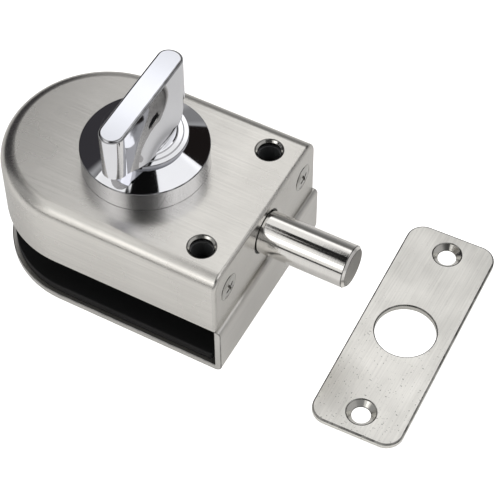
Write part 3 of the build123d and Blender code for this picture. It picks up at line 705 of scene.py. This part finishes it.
def thumb_turn_pieces():
    """A whole round foot, the bar's underside past it, and the bar rising out of the foot to a rounded top edge.
    Each column leaves the foot at the highest place where the foot still reaches past the bar, through a
    hollow of CREASE radius where the foot has room for it."""
    scan = np.linspace(GRIP_BOTTOM, CROWN_Z, 241)
    past = length(grip_outline(scan)[0]) < disc_radius(scan)[:, None]
    leave = np.where(past.any(0), scan[len(scan) - 1 - np.argmax(past[::-1], 0)], GRIP_BOTTOM)
    has_foot = (leave > GRIP_BOTTOM)[:, None]
    columns = np.arange(len(leave))
    down = np.tile([0.0, 0.0, -1.0], (len(leave), 1))

    def bar(z):
        """Bar point and normal for one height in each column, leaning by the slope between two heights."""
        near = 0.01
        here, flat_normal = [values[columns, columns] for values in grip_outline(z)]
        above = grip_outline(np.minimum(z + near, GRIP_TOP))[0][columns, columns]
        below = grip_outline(z - near)[0][columns, columns]
        lean = np.einsum("ij,ij->i", (above - below) / (2 * near), flat_normal)
        return np.column_stack([here, z]), unit(np.column_stack([flat_normal, -lean]))

    base, base_normal = bar(leave)
    ray = unit(base[:, :2])

    def foot(radius, z, lean):
        """Foot point and normal in each column's direction, for a radius, a height and the profile's normal."""
        point = np.column_stack([ray * np.reshape(radius, (-1, 1)), np.broadcast_to(z, leave.shape)])
        return point, np.column_stack([ray * lean[0], np.full(len(leave), lean[1])])

    joint = FOOT_LINE[np.searchsorted(FOOT_LINE[:, 1], GRIP_BOTTOM), 2:]
    lower = [foot(row[0], row[1], row[2:]) for row in FOOT_LINE if row[1] < GRIP_BOTTOM]
    lower.append(foot(disc_radius(GRIP_BOTTOM), GRIP_BOTTOM, joint))
    start = np.where(has_foot, lower[-1][0], base)
    crown = []
    for z, lean in [(GRIP_BOTTOM, joint)] + [(row[1], row[2:]) for row in FOOT_LINE if row[1] > GRIP_BOTTOM]:
        height = np.minimum(z, np.maximum(leave, GRIP_BOTTOM))
        point, normal = foot(disc_radius(height), height, lean)
        crown.append((np.where(has_foot, point, base), normal))

    room = length(crown[-1][0][:, :2]) - length(base[:, :2])
    crease = np.where(has_foot[:, 0], np.clip(0.8 * room, 0, CREASE), 0.0)
    wall, wall_normal = bar(leave + crease)
    outward = unit(base_normal[:, :2])
    hollow = []
    for angle in np.radians(np.linspace(0, 90, 7)):
        gap = (crease * (1 - math.sin(angle)))[:, None]
        z = leave + crease * (1 - math.cos(angle))
        hollow.append((np.column_stack([wall[:, :2] + gap * outward, z]),
                       -down * math.cos(angle) + wall_normal * math.sin(angle)))
    shoulder = [(crown[-1][0], -down), (hollow[0][0], -down)]

    rim = GRIP_EDGE + FAR_EDGE * np.clip(grip_outline(GRIP_TOP)[1][0, :, 1], 0, 1) ** 2
    bottom = leave + crease
    side = [bar(bottom + (GRIP_TOP - rim - bottom) * share) for share in np.linspace(0, 1, 40)]
    top, top_normal = bar(GRIP_TOP - rim)
    edge = []
    for angle in np.radians(np.linspace(0, 90, 9)):
        inset = top[:, :2] - (rim * (1 - math.cos(angle)))[:, None] * top_normal[:, :2]
        edge.append((np.column_stack([inset, GRIP_TOP - rim * (1 - math.sin(angle))]),
                     top_normal * math.cos(angle) + np.array([0, 0, math.sin(angle)])))

    blocks = (lower, [(lower[-1][0], down), (start, down)], crown, shoulder, hollow, side, edge)
    patches = [grid_patch(*(np.array(values) for values in zip(*block))) for block in blocks]
    return patches + [flat([edge[-1][0][:, :2]], GRIP_TOP),
                      flat([lower[0][0][:, :2], ring(SPINDLE_BORE)[0]], FOOT_Z, up=-1.0),
                      turned(rounded([(SPINDLE_BORE, BORE_TOP), (SPINDLE_BORE, FOOT_Z)], {})),
                      flat([ring(SPINDLE_BORE)[0]], BORE_TOP, up=-1.0)]


made("cast_thumb_turn", thumb_turn_pieces(), "turn", "chrome_plate", "thumb_turn")


# -------- bolt, end screws, strike plate

(TAIL_X, _, _), (TIP_X, BOLT_R, _) = box_mm("bolt")
BOLT_CHAMFER = 0.8
TAIL_R = 5.8
# The tail's flat is this far above its axis and ends at FLAT_X; the full section starts at FULL_X
FLAT_Z = 0.5
FLAT_X = 34.8
FULL_X = END_X + 0.1
# Angles nearer than this are one, and faces smaller than this are left out
TINY = 1e-9


def bolt_pieces():
    """Turned front with a chamfered tip, and a thinner tail whose section is a circle cut flat above the middle.
    Both are carried round one set of angles that has the flat's two edges in it, so they join point to point."""
    meet = math.asin(FLAT_Z / TAIL_R)
    angle = np.sort(np.append(2 * np.pi * np.arange(160) / 160, [meet, np.pi - meet]))
    front = rounded([(TAIL_R - 2, FLAT_X), (TAIL_R, FLAT_X), (TAIL_R, FULL_X), (BOLT_R, FULL_X),
                     (BOLT_R, TIP_X - BOLT_CHAMFER), (BOLT_R - BOLT_CHAMFER, TIP_X), (0.0, TIP_X)],
                    {4: 0.35, 5: 0.35}, step=10)
    way = towards(np.append(angle, angle[0]))
    patches = [carry((np.array([BOLT_CENTRE]), way), span(front, 2), ALONG_X)]

    below = np.append(angle[angle > np.pi - meet + TINY], 2 * np.pi + angle[angle < meet - TINY])
    tail = rounded([(TAIL_R - BOLT_CHAMFER - 1, TAIL_X), (TAIL_R - BOLT_CHAMFER, TAIL_X),
                    (TAIL_R, TAIL_X + BOLT_CHAMFER), (TAIL_R, FLAT_X)], {})
    radius, x = tail[0][1:, :1], tail[0][1:, 1:]
    out, lean = tail[1][1:, :1], tail[1][1:, 1:]
    end = np.arcsin(FLAT_Z / radius)
    around = np.hstack([np.pi - end, np.broadcast_to(below, (len(radius), len(below))), 2 * np.pi + end])
    normal = np.stack([lean + 0 * around, out * np.cos(around), out * np.sin(around)], -1)
    points = np.stack([x + 0 * around, radius * np.cos(around), radius * np.sin(around) + BOLT_CENTRE[1]], -1)
    patches.append(grid_patch(points, normal))
    cut_flat = np.stack([points[1:, 0], points[1:, -1]], 1)
    patches.append(grid_patch(cut_flat, np.zeros_like(cut_flat) + [0.0, 0.0, 1.0]))
    patches.append(flat([points[0, :, 1:]], TAIL_X, ALONG_X, up=-1.0))
    above = angle[(angle > meet + TINY) & (angle < np.pi - meet - TINY)]
    arc = TAIL_R * towards(above) + BOLT_CENTRE
    patches.append(flat([np.vstack([points[-1, 0, 1:], points[-1, -1, 1:], arc])], FLAT_X, ALONG_X, up=-1.0))
    return patches


made("turned_bolt", bolt_pieces(), "bolt", "polished_steel", "bolt")

SCREW_HEAD = 3.3
SCREW_SHANK = 1.75
SCREW_START = 31.0
SCREW_CROWN = 0.45
SCREW_TURN = math.radians(25.0)
RECESS_LONG, RECESS_HALF, RECESS_DEEP = 1.75, 0.38, 0.8
# Half the side of the square net in the middle of the head
SQUARE = 2.1


def crossed_screw(centre):
    """Screw lying along X: a dome over a square net, sunk where both net directions lie in the cross, the ring
    from the square to the rim, and the cone and shank carried round from the same rim points. Net lines are
    doubled at the cross's walls, and each quad of the top keeps its own flat normal."""
    half = np.array([RECESS_HALF, RECESS_HALF, 1.0, RECESS_LONG, RECESS_LONG, SQUARE])
    lines = np.concatenate([-half[::-1], [0.0], half])
    depth = np.array([0, 0, 1, 1, 1, 2, 2, 2, 1, 1, 1, 0, 0])
    sphere = (SCREW_HEAD ** 2 + SCREW_CROWN ** 2) / (2 * SCREW_CROWN)
    crown_x = END_X + SCREW_CROWN

    def dome(across):
        """Height of the dome over points (..., 2) of its face."""
        return crown_x - sphere + np.sqrt(np.maximum(sphere ** 2 - (across ** 2).sum(-1, keepdims=True), 0))

    net = np.stack(np.meshgrid(lines, lines, indexing="ij"), -1)
    du, dv = np.meshgrid(depth, depth, indexing="ij")
    sunk = (((du == 2) & (dv >= 1)) | ((dv == 2) & (du >= 1)))[..., None]
    net = np.concatenate([net, np.where(sunk, crown_x - RECESS_DEEP, dome(net))], -1)
    around = np.concatenate([net[:-1, 0], net[-1, :-1], net[:0:-1, -1], net[0, ::-1]])[:, :2]
    radius = length(around)[:, None]
    share = np.linspace(0, 1, 6)[None, :, None]
    out = around[:, None] * (1 + (SCREW_HEAD / radius - 1)[:, None] * share)
    patches = []
    for grid, facing in ((net, -1.0), (np.concatenate([out, dome(out)], -1), 1.0)):
        local = place(np.concatenate([spun(grid[..., :2], SCREW_TURN) + centre, grid[..., 2:]], -1), ALONG_X)
        quads = np.stack([local[:-1, :-1], local[:-1, 1:], local[1:, 1:], local[1:, :-1]], 2).reshape(-1, 4, 3)
        normal = np.cross(quads[:, 2] - quads[:, 0], quads[:, 3] - quads[:, 1])
        solid = length(normal) > TINY
        quads, normal = quads[solid], normal[solid]
        patches.append((quads.reshape(-1, 3), np.repeat(facing * normal, 4, 0),
                        np.arange(len(quads) * 4).reshape(-1, 4)))
    rim = spun(around / radius, SCREW_TURN)
    neck = END_X - (SCREW_HEAD - SCREW_SHANK)
    shank = rounded([(0.0, SCREW_START), (SCREW_SHANK, SCREW_START), (SCREW_SHANK, neck),
                     (SCREW_HEAD, END_X)], {})
    patches.append(carry((np.array([centre]), rim), shank, ALONG_X))
    return patches


end_screws = [patch for centre in SCREW_CENTRES for patch in crossed_screw(centre)]
made("end_screw_heads", end_screws, "lock_body", "screw_steel", "end_screws")

STRIKE_CENTRE = (76.1, 6.6, 0.0)
STRIKE_TURN = 2.0
STRIKE_HALF = (13.0, 36.0)
STRIKE_CORNER = 5.0
STRIKE_TOP = box_mm("strike_plate")[1][2]
TOP_EDGE, UNDER_EDGE = 0.45, 0.1
BOLT_HOLE = 8.5
FLOOR_SCREWS = [(0.0, side * 29.1) for side in SIDES]
SINK_R, SINK_DEPTH, SHANK_HOLE = 4.1, 1.5, 2.6


def strike_pieces():
    """Flat plate with rounded corners, and its cuts: a plain bolt hole and two countersunk screw holes. All are
    made about the middle, turned by STRIKE_TURN degrees and shifted to STRIKE_CENTRE."""
    half_x, half_y = STRIKE_HALF
    outline = rounded([(half_x, -half_y), (half_x, half_y), (-half_x, half_y), (-half_x, -half_y)],
                      dict.fromkeys(range(4), STRIKE_CORNER), closed=True, step=5)
    rim = rounded([(-1, 0), (0, 0), (0, STRIKE_TOP), (-1, STRIKE_TOP)], {1: UNDER_EDGE, 2: TOP_EDGE}, step=10)
    faces = [carry(outline, span(rim, 1, -1))]
    hole = hole_line([(BOLT_HOLE, STRIKE_TOP), (BOLT_HOLE, 0.0)], {0: 0.35}, 10)
    sink = hole_line([(SINK_R, STRIKE_TOP), (SHANK_HOLE, STRIKE_TOP - SINK_DEPTH), (SHANK_HOLE, 0.0)],
                     {0: 0.5, 1: 0.3}, 10)
    sinks = [(sink, centre) for centre in FLOOR_SCREWS]
    cuts = [turned(hole, count=128)] + [turned(sink, centre) for centre in FLOOR_SCREWS]
    for met, edge, height, up in ((0, TOP_EDGE, STRIKE_TOP, 1.0), (-1, UNDER_EDGE, 0.0, -1.0)):
        loops = [inward(outline, edge), ring(hole[0][met, 0], count=128)[0]]
        faces.append(flat(loops, height, up=up, holes=sinks))
    spin = np.array(Matrix.Rotation(math.radians(STRIKE_TURN), 3, "Z")).T
    return [[(points @ spin + STRIKE_CENTRE, normals @ spin, quads) for points, normals, quads in kind]
            for kind in (faces, cuts)]


strike_faces, strike_cuts = strike_pieces()
made("strike", strike_faces, "strike", "strike_stainless", "strike_plate", cut=strike_cuts)


# -------- floor

FLOOR_HALF, FLOOR_Z = 3.0, -2e-5
# The camera sees SEEN_GLOW. Metal mirrors a dimmer floor beside and behind the lock than in front of it: the
# glow and the Y where each begins
SEEN_GLOW = 1.05
(BESIDE_GLOW, BESIDE_Y), (FRONT_GLOW, FRONT_Y) = (0.26, -0.025), (0.50, -0.050)


def lay_floor():
    """Pale paper floor, matt, with a glow of its own."""
    corners = [(x * FLOOR_HALF, y * FLOOR_HALF, FLOOR_Z) for x, y in ((-1, -1), (1, -1), (1, 1), (-1, 1))]
    mesh = bpy.data.meshes.new("floor")
    mesh.from_pydata(corners, [], [(0, 1, 2, 3)])
    material = bpy.data.materials.new("floor_paper")
    material.use_nodes = True
    tree = material.node_tree
    sockets = tree.nodes["Principled BSDF"].inputs
    for label, value in (("Base Color", (0.80, 0.79, 0.77, 1.0)), ("Roughness", 0.9),
                         ("Specular IOR Level", 0.0), ("Emission Color", (1.0, 1.0, 1.0, 1.0))):
        sockets[label].default_value = value
    seen = math_node(tree, "MULTIPLY", node(tree, "ShaderNodeLightPath").outputs["Is Camera Ray"], SEEN_GLOW)
    forward = axis_of(tree, node(tree, "ShaderNodeTexCoord").outputs["Object"], "Y")
    mirrored = eased(tree, forward, BESIDE_Y, FRONT_Y, BESIDE_GLOW, FRONT_GLOW)
    tree.links.new(math_node(tree, "MAXIMUM", seen, mirrored), sockets["Emission Strength"])
    mesh.materials.append(material)
    added("floor", mesh)


lay_floor()


# -------- light

SKY, WHITE, COOL = (1.0, 0.995, 0.985), (1.0, 1.0, 1.0), (0.975, 0.99, 1.035)
# Windows of the room: middle azimuth, half width, middle elevation, half height and softness in degrees,
# brightness and colour. Azimuth runs from -Y towards +X.
ROOM = (
    (0, 181, 72, 24, 8, 0.004, WHITE),
    (100, 45, 12, 26, 14, 0.55, (1.0, 0.99, 0.99)),
    (24, 50, 48, 16, 6, 0.03, WHITE),
    (-112, 34, 22, 28, 6, 0.045, (0.95, 0.9, 1.0)),
    (165, 30, 36, 15.5, 1.5, 0.012, (1.0, 0.8, 0.75)),
    (-164, 9, 22, 14, 5, 0.17, (1.0, 1.0, 0.98)),
    (-172, 12, 14, 7, 4, 0.25, WHITE),
    (-18, 26, 24, 20, 5, 1.0, (1.0, 0.99, 0.97)),
    (-15, 40, 4, 5, 2, 0.02, WHITE),
)
ROOM_GREY = (0.4, 0.4, 0.4, 1.0)
# Overhead panels: low and high X and Y in metres, brightness and colour. The left ones make one shape with a
# notch, which the bolt mirrors as its dark band. The thumb-turn's top mirrors the one called SHADED.
SHADED = "left_shade"
PANELS = (
    ("left_near", (-0.13, -0.6), (-0.045, -0.15), 0.89, SKY),
    ("left_middle", (-0.13, -0.15), (-0.045, 0.128), 1.02, SKY),
    (SHADED, (-0.13, 0.128), (-0.102, 0.215), 0.92, COOL),
    ("left_beside", (-0.102, 0.128), (-0.045, 0.215), 1.02, SKY),
    ("left_far", (-0.13, 0.215), (-0.045, 0.3), 1.02, SKY),
    ("left_corner", (-0.19, 0.02), (-0.13, 0.3), 0.45, SKY),
    ("left_outer", (-0.19, -0.6), (-0.13, 0.02), 1.02, SKY),
    ("left_front", (-0.045, -0.6), (-0.02, -0.128), 0.89, SKY),
    ("left_strip", (-0.045, -0.072), (-0.028, -0.058), 1.02, SKY),
    ("left_back", (-0.045, 0.017), (-0.012, 0.3), 1.02, SKY),
    ("back_middle", (-0.012, 0.12), (0.06, 0.3), 1.02, SKY),
    ("right_panel", (0.058, -0.12), (0.33, 0.18), 1.12, WHITE),
)
PANEL_Z = 0.293


def dim_ends(light):
    """Dims a panel smoothly to end_level towards both ends of its depth, so that a flat mirror shades off."""
    steady, dimmed, end_level = 0.04, 0.34, 0.70
    light.use_nodes = True
    tree = light.node_tree
    along = axis_of(tree, node(tree, "ShaderNodeNewGeometry").outputs["Parametric"], "Y")
    from_middle = math_node(tree, "ABSOLUTE", math_node(tree, "SUBTRACT", along, 0.5))
    tree.links.new(eased(tree, from_middle, steady, dimmed, 1.0, end_level),
                   tree.nodes["Emission"].inputs["Strength"])


def hang_panels():
    """Soft boxes over the lock on both sides of a dark gap, which bright metal mirrors with crisp edges."""
    for name, low, high, level, tint in PANELS:
        wide, deep = high[0] - low[0], high[1] - low[1]
        light = bpy.data.lights.new(name, "AREA")
        light.shape = "RECTANGLE"
        light.size, light.size_y = wide, deep
        light.energy = level * math.pi * wide * deep
        light.color = tint
        if name == SHADED:
            dim_ends(light)
        panel = added(name, light)
        panel.location = ((low[0] + high[0]) / 2, (low[1] + high[1]) / 2, PANEL_Z)
        panel.visible_camera = False


def zone_group():
    """Mask of a window in azimuth and elevation: 1 inside, falling to 0 over the softness, in degrees."""
    tree, source, result = group("light_zone", {
        "Azimuth": 0.0, "Elevation": 0.0, "Middle": 0.0, "Half width": 10.0, "Height": 45.0,
        "Half height": 10.0, "Softness": 3.0}, ("Mask",))
    across = math_node(tree, "WRAP", math_node(tree, "SUBTRACT", source["Azimuth"], source["Middle"]),
                       180.0, -180.0)
    above = math_node(tree, "SUBTRACT", source["Elevation"], source["Height"])
    edges = []
    for distance, half in ((across, source["Half width"]), (above, source["Half height"])):
        inside = math_node(tree, "SUBTRACT", half, math_node(tree, "ABSOLUTE", distance))
        edges.append(eased(tree, inside, 0.0, source["Softness"]))
    tree.links.new(math_node(tree, "MULTIPLY", *edges), result["Mask"])
    return tree


def studio():
    """Grey room with bright panels and dark gaps, each a window of directions laid over the ones before it."""
    window = zone_group()
    world = bpy.data.worlds.new("studio")
    scene.world = world
    world.use_nodes = True
    tree = world.node_tree
    direction = node(tree, "ShaderNodeTexCoord").outputs["Generated"]
    x, y, z = node(tree, "ShaderNodeSeparateXYZ", {0: direction}).outputs
    back = math_node(tree, "MULTIPLY", y, -1.0)
    azimuth = math_node(tree, "DEGREES", math_node(tree, "ARCTAN2", x, back))
    elevation = math_node(tree, "DEGREES", math_node(tree, "ARCSINE", z))
    colour = ROOM_GREY
    for middle, half_width, height, half_height, softness, level, tint in ROOM:
        mask = shared(tree, window, Azimuth=azimuth, Elevation=elevation, Middle=middle, Half_width=half_width,
                      Height=height, Half_height=half_height, Softness=softness)["Mask"]
        lit = tuple(level * share for share in tint) + (1.0,)
        colour = node(tree, "ShaderNodeMix", {0: mask, 6: colour, 7: lit}, data_type="RGBA").outputs[2]
    tree.links.new(colour, tree.nodes["Background"].inputs["Color"])


hang_panels()
studio()


# -------- camera

TARGET = Vector((0.03036, 0.00206, 0.015))
DISTANCE = 0.52259
AZIMUTH, ELEVATION, ROLL = (math.radians(angle) for angle in (28.889, 52.73, 0.5))
# Focal length in pixels, from the photograph's fitted camera, on a frame 500 pixels and SENSOR mm wide
SENSOR = 36.0
FOCAL_PIXELS, FRAME_PIXELS = 1914.08, 500
NEAREST = 0.01


def aim_camera():
    """Camera at an azimuth from -Y towards +X, an elevation and a distance from the target, rolled a little."""
    data = bpy.data.cameras.new("camera")
    data.sensor_width = SENSOR
    data.lens = FOCAL_PIXELS * SENSOR / FRAME_PIXELS
    data.clip_start = NEAREST
    camera = added("camera", data)
    ray = Vector((math.cos(ELEVATION) * math.sin(AZIMUTH), -math.cos(ELEVATION) * math.cos(AZIMUTH),
                  math.sin(ELEVATION)))
    camera.location = TARGET + DISTANCE * ray
    camera.rotation_euler = (Matrix.Rotation(AZIMUTH, 3, "Z") @ Matrix.Rotation(math.pi / 2 - ELEVATION, 3, "X")
                             @ Matrix.Rotation(-ROLL, 3, "Z")).to_euler()
    scene.camera = camera
    scene.view_settings.view_transform = "Standard"


aim_camera()
